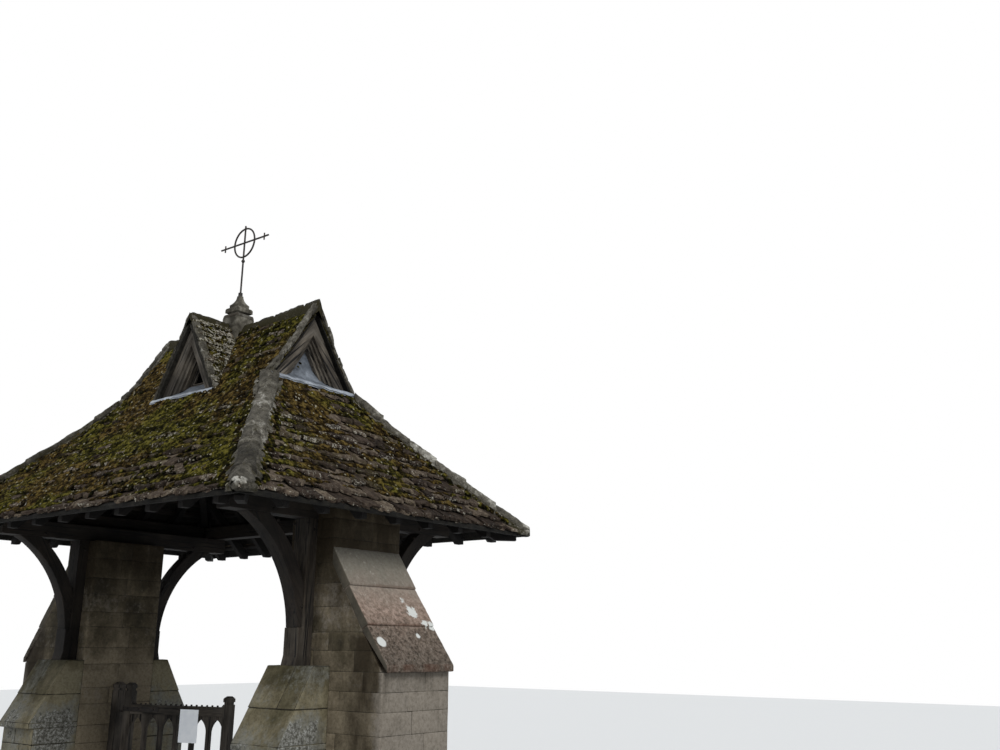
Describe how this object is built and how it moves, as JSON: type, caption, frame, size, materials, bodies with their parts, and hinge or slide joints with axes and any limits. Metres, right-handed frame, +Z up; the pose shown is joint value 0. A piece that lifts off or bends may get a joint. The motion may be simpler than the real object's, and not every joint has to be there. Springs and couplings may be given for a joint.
{
  "type": "lychgate",
  "caption": "Lychgate: two battered limestone piers with plinths and curved oak braces carry a swept stone-slate roof with four gablets and an iron cross over two gates.",
  "frame": {"origin": "on the ground in the middle of the plan, under the cross", "axes": "+Z up; +Y runs along the passage from the street side to the churchyard side; +X to the right as seen from the street"},
  "size_m": [5.1, 3.43, 5.8041],
  "materials": {
    "limestone": "rough",
    "stone_slate": "mossy",
    "mortar": "rough",
    "dark_oak": "weathered",
    "gate_oak": "weathered",
    "lead": "dull weathered lead sheet",
    "iron": "painted",
    "paper_board": "matte"
  },
  "bodies": {
    "gateway": {"left_pier": "limestone", "right_pier": "limestone", "left_weathering": "limestone", "right_weathering": "limestone", "left_front_plinth": "limestone", "left_back_plinth": "limestone", "right_front_plinth": "limestone", "right_back_plinth": "limestone", "left_front_post": "dark_oak", "left_back_post": "dark_oak", "right_front_post": "dark_oak", "right_back_post": "dark_oak", "left_front_brace": "dark_oak", "left_back_brace": "dark_oak", "right_front_brace": "dark_oak", "right_back_brace": "dark_oak", "left_plate": "dark_oak", "right_plate": "dark_oak", "front_beam": "dark_oak", "back_beam": "dark_oak", "side_beams": "dark_oak", "hip_rafters": "dark_oak", "rafters": "dark_oak", "ridge_board": "dark_oak", "front_slope": "stone_slate", "back_slope": "stone_slate", "left_slope": "stone_slate", "right_slope": "stone_slate", "cross_slates": "stone_slate", "hip_caps": "mortar", "ridge_caps": "mortar", "front_gablet": "dark_oak", "back_gablet": "dark_oak", "left_gablet": "dark_oak", "right_gablet": "dark_oak", "lead_aprons": "lead", "finial_stone": "limestone", "iron_cross": "iron", "gate_posts": "gate_oak", "hinge_hooks": "iron"},
    "left_leaf": {"left_gate": "gate_oak", "left_hinge_bands": "iron", "notice_sheet": "paper_board"},
    "right_leaf": {"right_gate": "gate_oak", "right_hinge_bands": "iron"}
  },
  "joints": [
    {"name": "left_gate_hinge", "type": "hinge", "parent": "gateway", "child": "left_leaf", "pos_m": [-1.27, 0, 0.14], "axis": [0, 0, 1], "range_deg": [-15, 80]},
    {"name": "right_gate_hinge", "type": "hinge", "parent": "gateway", "child": "right_leaf", "pos_m": [1.27, 0, 0.14], "axis": [0, 0, 1], "range_deg": [-5, 90]}
  ]
}
